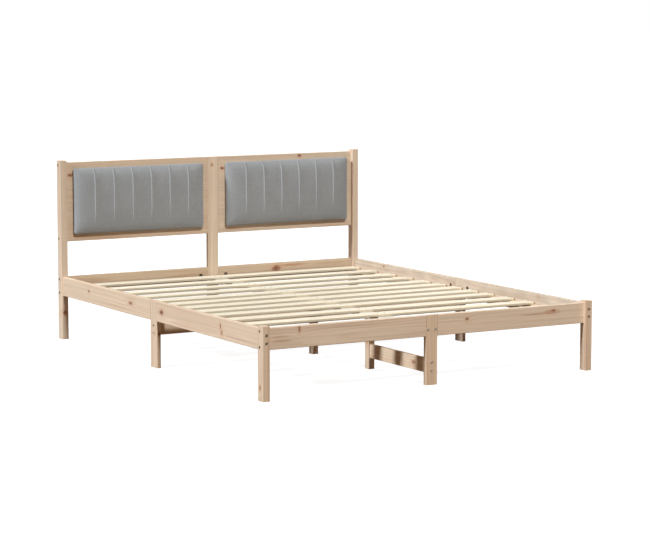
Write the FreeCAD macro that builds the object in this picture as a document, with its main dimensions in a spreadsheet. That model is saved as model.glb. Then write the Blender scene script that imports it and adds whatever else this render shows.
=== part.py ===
import FreeCAD, Part
import math
import os
import re

import Sketcher
from FreeCAD import Placement, Rotation, Vector

# Pine bed frame with two channelled headboard cushions, in millimetres.
# +Z is up, +Y points to the head and +X to the right as seen from the foot.
# The origin lies on the floor under the middle of the frame.

# Driving sizes: name, value, meaning.
SIZES = [
    ("well_width", 1602, "space for the mattress between the side rails"),
    ("well_length", 2006, "space for the mattress from foot rail to head rail"),
    ("board_thick", 20, "thickness of rails, panels, flat legs, beams and braces"),
    ("board_ease", 2, "chamfer on the long edges of posts and boards"),
    ("rail_bottom", 211, "underside of the rails above the floor"),
    ("rail_height", 91, "height of side, head and foot rails"),
    ("post_width", 34, "corner posts and legs, across the bed"),
    ("post_depth", 44, "corner posts and legs, along the bed"),
    ("side_inset", 8, "side rails behind the outer faces of the posts"),
    ("foot_setback", 18, "foot rail behind the front faces of the foot legs"),
    ("head_setback", 18, "headboard behind the front faces of the head posts"),
    ("head_post_rise", 10, "top of the head posts above the headboard panels"),
    ("foot_leg_rise", 10, "top of the foot legs above the rails"),
    ("panel_bottom", 471, "underside of the headboard panels"),
    ("panel_height", 381, "height of the headboard panels"),
    ("head_centre_width", 58, "width of the flat head centre post"),
    ("foot_centre_width", 58, "width of the flat foot centre leg"),
    ("side_leg_width", 64, "width of the flat side legs"),
    ("slat_drop", 40, "top of the slats below the top of the rails"),
    ("slat_width", 70, "width of a slat"),
    ("slat_thick", 12, "thickness of a slat"),
    ("slat_ease", 2, "chamfer on the long edges of a slat"),
    ("slat_end_gap", 7, "gap from a slat to the side rail"),
    ("slat_joint_gap", 1, "gap between the two halves of a slat row"),
    ("slat_pitch_inner", 139, "spacing of the rows next to mid-length"),
    ("slat_pitch_middle", 161, "spacing of the rows further out"),
    ("slat_pitch_outer", 176, "spacing of the rows nearest the ends"),
    ("ledger_width", 25, "slat ledger, across the bed"),
    ("ledger_height", 18, "slat ledger, height"),
    ("ledger_gap", 2, "gap between the two halves of a ledger"),
    ("beam_width", 70, "width of the flat centre beam"),
    ("cross_height", 56, "height of the cross beam"),
    ("cross_drop", 8, "top of the cross beam below the rails"),
    ("centre_leg_width", 30, "centre legs, across the bed"),
    ("centre_leg_depth", 36, "centre legs, along the bed"),
    ("centre_leg_spacing", 504, "distance between the centre legs"),
    ("brace_bottom", 50, "underside of the braces above the floor"),
    ("brace_height", 62, "height of the braces"),
    ("bolt_radius", 3, "shank of every bolt and rod"),
    ("bolt_clearance", 0.2, "hole radius beyond shank or washer radius"),
    ("bolt_grip", 45, "length of a bolt inside the piece that it pulls up"),
    ("head_radius", 5.8, "corner radius of a hexagonal bolt head"),
    ("head_height", 4, "height of a bolt head"),
    ("recess_radius", 7, "radius of the sunk hole for a corner bolt's head"),
    ("recess_depth", 7, "depth of the sunk hole for a corner bolt's head"),
    ("rail_bolt_spread", 66, "height between the two bolts in a head or foot rail's end"),
    ("side_bolt_spread", 33, "height between the two bolts in a side rail's end"),
    ("panel_bolt_inset", 13.5, "bolts from the upper and lower edges of a panel"),
    ("rod_rise", 5, "rod of a mid joint above the middle of the rail"),
    ("rod_past_nut", 3, "length of a rod beyond its nut"),
    ("pocket_radius", 10, "radius of the round pocket for a rod's nut"),
    ("pocket_depth", 16, "depth of a nut's pocket"),
    ("pocket_setback", 41, "axis of a pocket from the end of its board"),
    ("washer_thick", 4.5, "half-moon washer, along its rod"),
    ("washer_height", 10, "half-moon washer, through the board"),
    ("nut_radius", 5.5, "corner radius of a hexagonal nut"),
    ("nut_thick", 5, "thickness of a nut"),
    ("cushion_side_margin", 31.5, "bare panel left and right of a cushion"),
    ("cushion_low_margin", 38, "bare panel below a cushion"),
    ("cushion_top_margin", 31, "bare panel above a cushion"),
    ("cushion_thick", 36, "thickness of a cushion at its crown"),
    ("cushion_edge", 13, "thickness of a cushion at its upper and lower edges"),
    ("cushion_shoulder", 9, "front of a cushion inside its widest outline"),
    ("cushion_tuck", 5, "back of a cushion inside its widest outline"),
    ("cushion_draw", 4, "sides of a cushion drawn in between its corners"),
    ("cushion_crown", 3, "fall of the outer channels below the middle one"),
    ("channel_depth", 3, "depth of a seam between two channels"),
    ("cushion_gap", 0.3, "clearance round the backing board and behind the cushion"),
    ("backing_thick", 9, "thickness of the backing board in a cushion"),
    ("backing_margin", 22, "edges of the backing board inside the cushion's outline"),
]

# Places and lengths that follow from the driving sizes.
DERIVED = {
    "rail_in": "well_width / 2",
    "rail_mid_x": "rail_in + board_thick / 2",
    "rail_out": "rail_in + board_thick",
    "half_width": "rail_out + side_inset",
    "post_in": "half_width - post_width",
    "half_length": "(foot_setback + board_thick + well_length + post_depth - head_setback) / 2",
    "foot_leg_back": "post_depth - half_length",
    "foot_front": "foot_setback - half_length",
    "foot_mid": "foot_front + board_thick / 2",
    "foot_in": "foot_front + board_thick",
    "head_post_front": "half_length - post_depth",
    "panel_front": "head_post_front + head_setback",
    "panel_mid": "panel_front + board_thick / 2",
    "panel_back": "panel_front + board_thick",
    "panel_top": "panel_bottom + panel_height",
    "rail_top": "rail_bottom + rail_height",
    "rail_mid": "rail_bottom + rail_height / 2",
    "head_post_height": "panel_top + head_post_rise",
    "foot_leg_height": "rail_top + foot_leg_rise",
    "slat_top": "rail_top - slat_drop",
    "slat_bottom": "slat_top - slat_thick",
    "beam_bottom": "slat_bottom - board_thick",
    "cross_top": "rail_bottom - cross_drop",
    "cross_bottom": "cross_top - cross_height",
    "brace_top": "brace_bottom + brace_height",
    "leg_near": "centre_leg_spacing - centre_leg_depth / 2",
    "leg_far": "centre_leg_spacing + centre_leg_depth / 2",
    "bolt_hole": "bolt_radius + bolt_clearance",
    "washer_radius": "pocket_radius - bolt_clearance",
    "washer_flat": "washer_radius - washer_thick",
    "bolt_bore": "bolt_grip + bolt_clearance",
    "rod_height": "rail_mid + rod_rise",
    "cushion_x": "(head_centre_width / 2 + post_in) / 2",
    "cushion_bottom": "panel_bottom + cushion_low_margin",
    "cushion_top": "panel_top - cushion_top_margin",
    "cushion_width": "post_in - head_centre_width / 2 - 2 * cushion_side_margin",
}

SIDES = (("left", -1), ("right", 1))
HALVES = (("foot", -1), ("head", 1))
INNER_ROWS = 2
MIDDLE_ROWS = 2
OUTER_ROWS = 2
CHANNELS = 7
# Shares of a cushion's height between which the seams deepen.
SEAM_END = 0.14
SEAM_FULL = 0.3
# Shanks and rods are hidden in their bores and drawn plain, without threads.
SHANK_SIDES = 8
WASHER_SIDES = 24
HEAD_SIDES = 6

AXES = "xyz"
# Origin plane square to each axis, and the sign of the plane's normal along that axis.
PLANES = {"x": ("YZ_Plane", 1), "y": ("XZ_Plane", -1), "z": ("XY_Plane", 1)}
# Turns that bring a pin's own axis, +Z, onto each axis.
TURNS = {
    "x": Rotation(Vector(0, 1, 0), 90),
    "y": Rotation(Vector(1, 0, 0), -90),
    "z": Rotation(),
}

doc = FreeCAD.newDocument("bed_frame")
sheet = doc.addObject("Spreadsheet::Sheet", "Sizes")
for row, (alias, value, meaning) in enumerate(SIZES, start=1):
    sheet.set(f"A{row}", meaning)
    sheet.set(f"B{row}", str(value))
    sheet.setAlias(f"B{row}", alias)
doc.recompute()

ALIASES = {alias for alias, value, meaning in SIZES}
nodes = []
cuts = []


def size(alias):
    """Value of one driving size."""
    return float(sheet.get(alias))


def expand(text):
    """Write a formula of named sizes in terms of the sheet's cells."""
    def word(match):
        name = match.group(0)
        if name in DERIVED:
            return "(" + expand(DERIVED[name]) + ")"
        return "Sizes." + name if name in ALIASES else name
    return re.sub(r"[a-z_]+", word, str(text))


def bind(item, path, text):
    """Tie one property of an object to a formula of named sizes."""
    item.setExpression(path, expand(text))


def place(item, corner, turn=Rotation()):
    """Tie an object's position to three formulas."""
    item.Placement = Placement(Vector(), turn)
    for axis, text in zip(AXES, corner):
        bind(item, f"Placement.Base.{axis}", text)


def mirrored(sign, text):
    """A coordinate on the positive side, or its mirror image."""
    return f"{text}" if sign > 0 else f"-({text})"


def span(sign, near, far):
    """An interval on the positive side, or its mirror image."""
    return (f"{near}", f"{far}") if sign > 0 else (f"-({far})", f"-({near})")


def attach(body, sketch, axis, offset=None):
    """Lay a sketch on the origin plane square to an axis, shifted along that axis."""
    role, normal = PLANES[axis]
    plane = [f for f in body.Origin.OriginFeatures if f.Role == role][0]
    sketch.AttachmentSupport = [(plane, "")]
    sketch.MapMode = "FlatFace"
    if offset is not None:
        bind(sketch, "AttachmentOffset.Base.z", f"{normal} * ({offset})")


def constrain(sketch, name, text, *parts):
    """Add a named dimension to a sketch and tie it to a formula."""
    number = sketch.addConstraint(Sketcher.Constraint(*parts))
    sketch.renameConstraint(number, name)
    bind(sketch, f"Constraints.{name}", text)


def rectangle(sketch, width, depth):
    """Rectangle from the sketch's origin, fully constrained."""
    corners = [Vector(0, 0, 0), Vector(9, 0, 0), Vector(9, 9, 0), Vector(0, 9, 0)]
    for start, end in zip(corners, corners[1:] + corners[:1]):
        sketch.addGeometry(Part.LineSegment(start, end), False)
    for line in range(4):
        sketch.addConstraint(Sketcher.Constraint("Coincident", line, 2, (line + 1) % 4, 1))
    for line, kind in enumerate(("Horizontal", "Vertical", "Horizontal", "Vertical")):
        sketch.addConstraint(Sketcher.Constraint(kind, line))
    sketch.addConstraint(Sketcher.Constraint("Coincident", 0, 1, -1, 1))
    constrain(sketch, "width", width, "DistanceX", 0, 1, 0, 2, 9.0)
    constrain(sketch, "depth", depth, "DistanceY", 1, 1, 1, 2, 9.0)


def board(label, x, y, z, grain, ease="board_ease", is_node=True):
    """Straight board between three pairs of planes, its long edges eased."""
    body = doc.addObject("PartDesign::Body", label)
    body.Label = label
    lows = [x[0], y[0], z[0]]
    lengths = [f"({high}) - ({low})" for low, high in (x, y, z)]
    sketch = body.newObject("Sketcher::SketchObject", f"{label}_outline")
    attach(body, sketch, "z")
    rectangle(sketch, lengths[0], lengths[1])
    pad = body.newObject("PartDesign::Pad", f"{label}_pad")
    pad.Profile = sketch
    bind(pad, "Length", lengths[2])
    doc.recompute()
    along = Vector(*[float(axis == grain) for axis in AXES])
    edges = [
        f"Edge{number}" for number, edge in enumerate(pad.Shape.Edges, start=1)
        if abs(edge.tangentAt(edge.FirstParameter).dot(along)) > 0.999
    ]
    chamfer = body.newObject("PartDesign::Chamfer", f"{label}_ease")
    chamfer.Base = (pad, edges)
    bind(chamfer, "Size", ease)
    place(body, lows)
    if is_node:
        nodes.append((body, 1))
    return body, dict(zip(AXES, lows))


def drill(piece, axis, toward, start, depth, radius, spots):
    """Round holes along an axis, from a plane, as deep as given or right through."""
    body, low = piece
    base = body.Tip
    across = [letter for letter in AXES if letter != axis]
    sketch = body.newObject("Sketcher::SketchObject", f"{body.Name}_holes")
    attach(body, sketch, axis, f"({start}) - ({low[axis]})")
    for number, spot in enumerate(spots):
        sketch.addGeometry(Part.Circle(Vector(9, 9, 0), Vector(0, 0, 1), 2), False)
        constrain(sketch, f"radius{number}", radius, "Radius", number, 2.0)
        for kind, letter, text in zip(("DistanceX", "DistanceY"), across, spot):
            local = f"({text}) - ({low[letter]})"
            constrain(sketch, f"{letter}{number}", local, kind, -1, 1, number, 3, 9.0)
    pocket = body.newObject("PartDesign::Pocket", f"{body.Name}_bore")
    pocket.Profile = sketch
    pocket.Reversed = toward == PLANES[axis][1]
    if depth is None:
        pocket.Type = "ThroughAll"
    else:
        bind(pocket, "Length", depth)
    cuts.append((pocket, base))


def pin(name, axis, toward, start, across, radius, length, sides):
    """Many-sided pin along an axis, from a plane and running the given way."""
    item = doc.addObject("Part::Prism", name)
    item.Polygon = sides
    bind(item, "Circumradius", radius)
    bind(item, "Height", length)
    low = f"{start}" if toward > 0 else f"({start}) - ({length})"
    corner = list(across)
    corner.insert(AXES.index(axis), low)
    place(item, corner, TURNS[axis])
    return item


def bolt(name, axis, toward, face, across, length):
    """Bolt whose head sits at the bottom of a sunk hole in a face."""
    step = "+" if toward > 0 else "-"
    seat = f"({face}) {step} recess_depth"
    head = pin(f"{name}_head", axis, -toward, seat, across, "head_radius", "head_height", HEAD_SIDES)
    shank = pin(f"{name}_shank", axis, toward, seat, across, "bolt_radius", length, SHANK_SIDES)
    whole = doc.addObject("Part::MultiFuse", name)
    whole.Shapes = [head, shank]
    return whole


def block(name, x, y, z):
    """Plain block between three pairs of planes."""
    item = doc.addObject("Part::Box", name)
    for path, (low, high) in zip(("Length", "Width", "Height"), (x, y, z)):
        bind(item, path, f"({high}) - ({low})")
    place(item, [low for low, high in (x, y, z)])
    return item


def pocket_nut(name, axis, toward, face, spot, rod_axis, way, middle):
    """Half-moon washer on the wall of a round pocket and the nut that draws it up, bored for the rod."""
    step = "+" if toward > 0 else "-"
    top = f"({face}) {step} (board_thick - washer_height) / 2"
    across = [spot[letter] for letter in AXES if letter != axis]
    disc = pin(f"{name}_disc", axis, toward, top, across, "washer_radius", "washer_height", WASHER_SIDES)
    limits = {letter: (f"({text}) - 2 * board_thick", f"({text}) + 2 * board_thick")
              for letter, text in spot.items()}
    limits[rod_axis] = span(way, f"{middle} - washer_radius", f"{middle} - washer_flat")
    washer = doc.addObject("Part::Common", f"{name}_washer")
    washer.Base = disc
    washer.Tool = block(f"{name}_limits", *[limits[letter] for letter in AXES])
    beside = [spot[letter] for letter in AXES if letter != rod_axis]
    hexagon = pin(f"{name}_hexagon", rod_axis, way, mirrored(way, f"{middle} - washer_flat"), beside,
                  "nut_radius", "nut_thick", HEAD_SIDES)
    blank = doc.addObject("Part::MultiFuse", f"{name}_blank")
    blank.Shapes = [washer, hexagon]
    bore = pin(f"{name}_bore", rod_axis, 1, f"({spot[rod_axis]}) - 2 * washer_radius", beside,
               "bolt_hole", "4 * washer_radius", SHANK_SIDES)
    nut = doc.addObject("Part::Cut", name)
    nut.Base = blank
    nut.Tool = bore
    return nut


def group(label, items):
    """One node of several separate solids."""
    whole = doc.addObject("Part::Compound", label)
    whole.Label = label
    whole.Links = items
    nodes.append((whole, len(items)))


def pair(middle, spread):
    """Two coordinates, one each side of a middle."""
    return [f"{middle} + {spread} / 2", f"{middle} - {spread} / 2"]


corner_bolts = []
rods = []
nuts = []


def corner_bolt(axis, toward, face, through, across):
    """Sunk bolt through a post into the end of a rail or panel."""
    name = f"corner_bolt_{len(corner_bolts) + 1}"
    length = f"{through} - recess_depth + bolt_grip"
    corner_bolts.append(bolt(name, axis, toward, face, across, length))


def rod_with_nuts(axis, half_gap, across, nut_axis, nut_toward, nut_face):
    """Rod through a leg, centred on the leg, with a half-moon washer and nut near each end."""
    middle = f"{half_gap} + pocket_setback"
    reach = f"{middle} - washer_flat + nut_thick + rod_past_nut"
    rods.append(pin(f"rod_{len(rods) + 1}", axis, 1, f"-({reach})", across,
                    "bolt_radius", f"2 * ({reach})", SHANK_SIDES))
    spot = dict(zip([letter for letter in AXES if letter != axis], across))
    spot[nut_axis] = f"({nut_face}) {'+' if nut_toward > 0 else '-'} board_thick / 2"
    for way in (-1, 1):
        spot[axis] = mirrored(way, middle)
        nuts.append(pocket_nut(f"nut_{len(nuts) + 1}", nut_axis, nut_toward, nut_face,
                               dict(spot), axis, way, middle))


RAIL_BOLTS = pair("rail_mid", "rail_bolt_spread")
SIDE_BOLTS = pair("rail_mid", "side_bolt_spread")
PANEL_BOLTS = ["panel_bottom + panel_bolt_inset", "panel_top - panel_bolt_inset"]
PANEL_RODS = ["panel_bottom + panel_height / 2"]


def corner_post(label, sign, y, height, board_mid, heights, face, toward):
    """Corner post or leg, bored for the rails that meet it, with its bolts."""
    post = board(label, span(sign, "post_in", "half_width"), y, ("0", height), "z")
    outer = mirrored(sign, "half_width")
    rail_x = mirrored(sign, "rail_mid_x")
    end_spots = [(board_mid, text) for text in heights]
    side_spots = [(rail_x, text) for text in SIDE_BOLTS]
    for radius, depth in (("recess_radius", "recess_depth"), ("bolt_hole", None)):
        drill(post, "x", -sign, outer, depth, radius, end_spots)
        drill(post, "y", toward, face, depth, radius, side_spots)
    for spot in end_spots:
        corner_bolt("x", -sign, outer, "post_width", spot)
    for spot in side_spots:
        corner_bolt("y", toward, face, "post_depth", spot)


def end_board(label, sign, centre_width, front, mid, z, bolts, rod_heights, nut_face):
    """Rail or panel across the bed from a centre post to a corner post."""
    inner = f"{centre_width} / 2"
    piece = board(label, span(sign, inner, "post_in"), (front, f"{front} + board_thick"), z, "x")
    outer = mirrored(sign, "post_in")
    drill(piece, "x", -sign, outer, "bolt_bore", "bolt_hole", [(mid, text) for text in bolts])
    drill(piece, "x", sign, mirrored(sign, inner), "pocket_setback", "bolt_hole",
          [(mid, text) for text in rod_heights])
    face, toward = nut_face
    nut_x = mirrored(sign, f"{inner} + pocket_setback")
    drill(piece, "y", toward, face, "pocket_depth", "pocket_radius", [(nut_x, text) for text in rod_heights])


def headboard():
    """Head posts, centre post, panels and lower head rails."""
    y = ("head_post_front", "half_length")
    rail = ("rail_bottom", "rail_top")
    panel = ("panel_bottom", "panel_top")
    for side, sign in SIDES:
        corner_post(f"head_post_{side}", sign, y, "head_post_height", "panel_mid",
                    RAIL_BOLTS + PANEL_BOLTS, "half_length", -1)
        end_board(f"head_panel_{side}", sign, "head_centre_width", "panel_front", "panel_mid",
                  panel, PANEL_BOLTS, PANEL_RODS, ("panel_back", -1))
        end_board(f"head_rail_{side}", sign, "head_centre_width", "panel_front", "panel_mid",
                  rail, RAIL_BOLTS, ["rod_height"], ("panel_front", 1))
    post = board("head_post_centre", span_about("head_centre_width"), ("panel_front", "panel_back"),
                 ("0", "panel_top"), "z")
    rod_heights = ["rod_height"] + PANEL_RODS
    drill(post, "x", 1, "-head_centre_width / 2", None, "bolt_hole",
          [("panel_mid", text) for text in rod_heights])
    rod_with_nuts("x", "head_centre_width / 2", ("panel_mid", "rod_height"), "y", 1, "panel_front")
    for text in PANEL_RODS:
        rod_with_nuts("x", "head_centre_width / 2", ("panel_mid", text), "y", -1, "panel_back")


def span_about(width):
    """An interval about zero."""
    return (f"-{width} / 2", f"{width} / 2")


def foot_end():
    """Foot legs, flat foot centre leg and foot rails."""
    y = ("-half_length", "foot_leg_back")
    for side, sign in SIDES:
        corner_post(f"foot_leg_{side}", sign, y, "foot_leg_height", "foot_mid",
                    RAIL_BOLTS, "-half_length", 1)
        end_board(f"foot_rail_{side}", sign, "foot_centre_width", "foot_front", "foot_mid",
                  ("rail_bottom", "rail_top"), RAIL_BOLTS, ["rod_height"], ("foot_in", -1))
    leg = board("foot_leg_centre", span_about("foot_centre_width"), ("foot_front", "foot_in"),
                ("0", "rail_top"), "z")
    drill(leg, "x", 1, "-foot_centre_width / 2", None, "bolt_hole", [("foot_mid", "rod_height")])
    rod_with_nuts("x", "foot_centre_width / 2", ("foot_mid", "rod_height"), "y", -1, "foot_in")


def side_frames():
    """Side rails in halves, the flat legs between them and the slat ledgers."""
    ends = {"foot": "-(foot_leg_back)", "head": "head_post_front"}
    for side, sign in SIDES:
        x = span(sign, "rail_in", "rail_out")
        rail_x = mirrored(sign, "rail_mid_x")
        inner = mirrored(sign, "rail_in")
        for half, way in HALVES:
            rail = board(f"side_rail_{side}_{half}", x, span(way, "side_leg_width / 2", ends[half]),
                         ("rail_bottom", "rail_top"), "y")
            drill(rail, "y", -way, mirrored(way, ends[half]), "bolt_bore", "bolt_hole",
                  [(rail_x, text) for text in SIDE_BOLTS])
            drill(rail, "y", way, mirrored(way, "side_leg_width / 2"), "pocket_setback", "bolt_hole",
                  [(rail_x, "rod_height")])
            nut_y = mirrored(way, "side_leg_width / 2 + pocket_setback")
            drill(rail, "x", sign, inner, "pocket_depth", "pocket_radius", [(nut_y, "rod_height")])
            board(f"slat_ledger_{side}_{half}", span(sign, "rail_in - ledger_width", "rail_in"),
                  span(way, "ledger_gap / 2", ends[half]),
                  ("slat_bottom - ledger_height", "slat_bottom"), "y")
        leg = board(f"side_leg_{side}", x, span_about("side_leg_width"), ("0", "rail_top"), "z")
        drill(leg, "y", 1, "-side_leg_width / 2", None, "bolt_hole", [(rail_x, "rod_height")])
        rod_with_nuts("y", "side_leg_width / 2", (rail_x, "rod_height"), "x", sign, inner)


def cross_beams():
    """The two halves of the cross beam, between the side legs and the middle centre leg."""
    for side, sign in SIDES:
        board(f"cross_beam_{side}", span(sign, "centre_leg_width / 2", "rail_in"),
              span_about("board_thick"), ("cross_bottom", "cross_top"), "x")


def centre_line():
    """Flat centre beam in halves, the legs under it and the low braces."""
    x_leg = span_about("centre_leg_width")
    ends = {"foot": "-(foot_in)", "head": "panel_front"}
    board("centre_leg_middle", x_leg, span_about("centre_leg_depth"), ("0", "beam_bottom"), "z")
    for half, way in HALVES:
        end = ends[half]
        board(f"centre_beam_{half}", span_about("beam_width"), span(way, "0", end),
              ("beam_bottom", "slat_bottom"), "y")
        board(f"centre_leg_{half}", x_leg, span(way, "leg_near", "leg_far"),
              ("0", "beam_bottom"), "z")
        board(f"centre_brace_{half}", span_about("board_thick"), span(way, "leg_far", end),
              ("brace_bottom", "brace_top"), "y")


def slat_half(name, sign, middle):
    """Half of one slat row, from the middle of the bed to near the side rail."""
    half, low = board(name, span(sign, "slat_joint_gap / 2", "rail_in - slat_end_gap"),
                      (f"{middle} - slat_width / 2", f"{middle} + slat_width / 2"),
                      ("slat_bottom", "slat_top"), "x", "slat_ease", False)
    return half


def slats():
    """Rows of slats, closest together round mid-length and wider apart towards the ends."""
    steps = (["slat_pitch_inner"] * INNER_ROWS + ["slat_pitch_middle"] * MIDDLE_ROWS
             + ["slat_pitch_outer"] * OUTER_ROWS)
    outward = [" + ".join(steps[:count]) for count in range(1, len(steps) + 1)]
    rows = [mirrored(-1, text) for text in reversed(outward)] + ["0"] + outward
    for number, middle in enumerate(rows, start=1):
        label = f"slat_{number:02d}"
        group(label, [slat_half(f"{label}_{side}", sign, middle) for side, sign in SIDES])


def cushion_section(share, width, height):
    """Outline of a cushion at a share of its height: back, sides and the row of channels."""
    level = share * height
    rim = 1 - abs(2 * share - 1) ** 8
    thick = size("cushion_edge") + (size("cushion_thick") - size("cushion_edge")) * rim
    draw = size("cushion_draw") * math.sin(math.pi * share)
    widest = width / 2 - draw
    back = widest - size("cushion_tuck")
    front = widest - size("cushion_shoulder") * (0.4 + 0.6 * rim)
    fade = min(1, max(0.1, (share - SEAM_END) / (SEAM_FULL - SEAM_END)))
    seam = size("channel_depth") * fade * max(rim, 0.3)

    def surface(across, fall):
        crown = size("cushion_crown") * (across / front) ** 2 * rim
        return Vector(across, -(thick - crown - fall), level)

    pitch = 2 * front / CHANNELS
    valleys = [surface(front - number * pitch, seam) for number in range(CHANNELS + 1)]
    right = [Vector(back, 0, level), Vector(widest, -0.45 * thick, level), valleys[0]]
    left = [Vector(-point.x, point.y, point.z) for point in reversed(right)]
    edges = [Part.LineSegment(one, two).toShape() for one, two in zip(right, right[1:])]
    for one, two in zip(valleys, valleys[1:]):
        crest = surface((one.x + two.x) / 2, 0)
        edges.append(Part.Arc(one, crest, two).toShape())
    edges += [Part.LineSegment(one, two).toShape() for one, two in zip(left, left[1:])]
    edges.append(Part.LineSegment(left[-1], right[0]).toShape())
    return Part.Wire(edges)


def cushion_shape(backing):
    """Padding and cover in one, with a hollow at the back that takes the backing board."""
    board_box = backing.Shape.BoundBox
    margin = size("backing_margin")
    gap = size("cushion_gap")
    width = board_box.XLength + 2 * margin
    height = board_box.ZLength + 2 * margin
    shares = [0, 0.04, SEAM_END, SEAM_FULL, 0.87, 0.96, 1]
    padding = Part.makeLoft([cushion_section(share, width, height) for share in shares], True, True)
    hollow = Part.makeBox(board_box.XLength + 2 * gap, board_box.YLength, board_box.ZLength + 2 * gap,
                          Vector(-board_box.XLength / 2 - gap, -board_box.YLength, margin - gap))
    return padding.cut(hollow)


def cushions():
    """Upholstered cushions, each drawn over a backing board on its panel."""
    for side, sign in SIDES:
        middle = mirrored(sign, "cushion_x")
        backing, low = board(f"cushion_backing_{side}",
                             (f"{middle} - cushion_width / 2 + backing_margin",
                              f"{middle} + cushion_width / 2 - backing_margin"),
                             ("panel_front - backing_thick", "panel_front"),
                             ("cushion_bottom + backing_margin", "cushion_top - backing_margin"), "x")
        doc.recompute()
        pad = doc.addObject("Part::Feature", f"cushion_{side}")
        pad.Label = f"cushion_{side}"
        pad.Shape = cushion_shape(backing)
        place(pad, (middle, "panel_front - cushion_gap", "cushion_bottom"))
        nodes.append((pad, 1))


headboard()
foot_end()
side_frames()
cross_beams()
centre_line()
slats()
cushions()
group("corner_bolts", corner_bolts)
group("frame_rods", rods)
group("cross_nuts", nuts)
doc.recompute()

for item in doc.Objects:
    if "Invalid" in item.State or "Error" in item.State:
        raise RuntimeError(f"{item.Name} did not build: {item.State}")
for cut, base in cuts:
    if cut.Shape.Volume > base.Shape.Volume - 1:
        raise RuntimeError(f"{cut.Name} removes nothing")
for item, count in nodes:
    if item.Shape.isNull() or not item.Shape.isValid() or len(item.Shape.Solids) != count:
        raise RuntimeError(f"{item.Label} is not {count} sound solids")

os.makedirs("parts", exist_ok=True)
for item, count in nodes:
    item.Shape.exportStep(f"parts/{item.Label}.step")
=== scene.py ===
import math
import random

import bmesh
import bpy
import numpy as np
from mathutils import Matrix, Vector
from mathutils.bvhtree import BVHTree


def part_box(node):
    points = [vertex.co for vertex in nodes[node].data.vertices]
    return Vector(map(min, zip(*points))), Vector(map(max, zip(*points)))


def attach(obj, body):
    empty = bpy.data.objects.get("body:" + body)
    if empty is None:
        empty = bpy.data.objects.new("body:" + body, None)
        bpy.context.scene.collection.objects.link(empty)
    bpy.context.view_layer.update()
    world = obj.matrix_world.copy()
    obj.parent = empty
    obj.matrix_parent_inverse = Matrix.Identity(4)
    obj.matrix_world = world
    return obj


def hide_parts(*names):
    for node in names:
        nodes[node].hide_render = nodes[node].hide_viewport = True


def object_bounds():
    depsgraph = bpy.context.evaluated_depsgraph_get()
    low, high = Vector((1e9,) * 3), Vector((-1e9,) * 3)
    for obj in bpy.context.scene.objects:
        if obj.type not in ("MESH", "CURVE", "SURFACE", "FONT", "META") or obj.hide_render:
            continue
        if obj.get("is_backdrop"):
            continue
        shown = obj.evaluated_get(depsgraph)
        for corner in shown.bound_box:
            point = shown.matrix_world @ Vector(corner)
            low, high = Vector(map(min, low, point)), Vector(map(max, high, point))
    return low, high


# Looks of a pine bed frame with two channelled headboard cushions, in metres.
# +Z is up, +Y points to the head and +X to the right as seen from the foot.

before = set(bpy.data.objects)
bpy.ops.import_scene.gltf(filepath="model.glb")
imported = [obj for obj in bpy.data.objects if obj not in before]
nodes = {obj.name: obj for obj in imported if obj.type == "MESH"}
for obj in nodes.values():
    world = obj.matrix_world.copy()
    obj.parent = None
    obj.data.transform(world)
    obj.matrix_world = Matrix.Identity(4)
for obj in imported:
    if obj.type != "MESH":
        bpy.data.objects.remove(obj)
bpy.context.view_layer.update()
scene = bpy.context.scene
scene.view_settings.view_transform = "Standard"

AXIS = {"x": 0, "y": 1, "z": 2}
SIDES = (("left", -1), ("right", 1))
STEEL_NODES = ("corner_bolts", "frame_rods", "cross_nuts")


# Node trees

def plug(tree, socket, value):
    """Link a socket to another one, or set it to a plain value."""
    if isinstance(value, bpy.types.NodeSocket):
        tree.links.new(value, socket)
    else:
        socket.default_value = value


def add(tree, kind, inputs=None, **settings):
    """A node with its properties set and its inputs given values or linked to sockets."""
    made = tree.nodes.new(kind)
    for name, value in settings.items():
        setattr(made, name, value)
    for key, value in (inputs or {}).items():
        plug(tree, made.inputs[key], value)
    return made


def calc(tree, operation, *values):
    """One step of arithmetic."""
    return add(tree, "ShaderNodeMath", dict(enumerate(values)), operation=operation).outputs[0]


def vector_calc(tree, operation, *values):
    """One step of vector arithmetic."""
    made = add(tree, "ShaderNodeVectorMath", dict(enumerate(values)), operation=operation)
    return made.outputs["Value" if operation == "LENGTH" else "Vector"]


def ease(tree, value, start, end, low=0.0, high=1.0):
    """A smooth change from low to high as the value goes from start to end."""
    inputs = {"Value": value, "From Min": start, "From Max": end, "To Min": low, "To Max": high}
    made = add(tree, "ShaderNodeMapRange", inputs, interpolation_type="SMOOTHSTEP")
    return made.outputs["Result"]


def blend_colours(tree, amount, first, second, mode="MIX"):
    """Two colours blended by an amount."""
    made = add(tree, "ShaderNodeMix", data_type="RGBA", blend_type=mode)
    for place, value in ((0, amount), (6, first), (7, second)):
        plug(tree, made.inputs[place], value)
    return made.outputs[2]


def ramp(tree, value, stops):
    """Colours along a value."""
    made = add(tree, "ShaderNodeValToRGB", {"Fac": value})
    points = made.color_ramp.elements
    while len(points) < len(stops):
        points.new(0.5)
    for point, (place, colour) in zip(points, stops):
        point.position = place
        point.color = colour
    return made.outputs["Color"]


def object_coords(tree):
    """The place on the object."""
    return add(tree, "ShaderNodeTexCoord").outputs["Object"]


def grain_noise(tree, coords, scale, detail=2.0, offset=(0.0, 0.0, 0.0), output="Fac"):
    """Noise stretched by a scale for each axis."""
    moved = vector_calc(tree, "ADD", coords, offset)
    stretched = vector_calc(tree, "MULTIPLY", moved, scale)
    inputs = {"Vector": stretched, "Scale": 1.0, "Detail": detail}
    return add(tree, "ShaderNodeTexNoise", inputs).outputs[output]


def scaled_distance(tree, coords, place, scale):
    """Distance from a place, with a scale for each axis."""
    offset = vector_calc(tree, "SUBTRACT", coords, tuple(place))
    return vector_calc(tree, "LENGTH", vector_calc(tree, "MULTIPLY", offset, scale))


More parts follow.
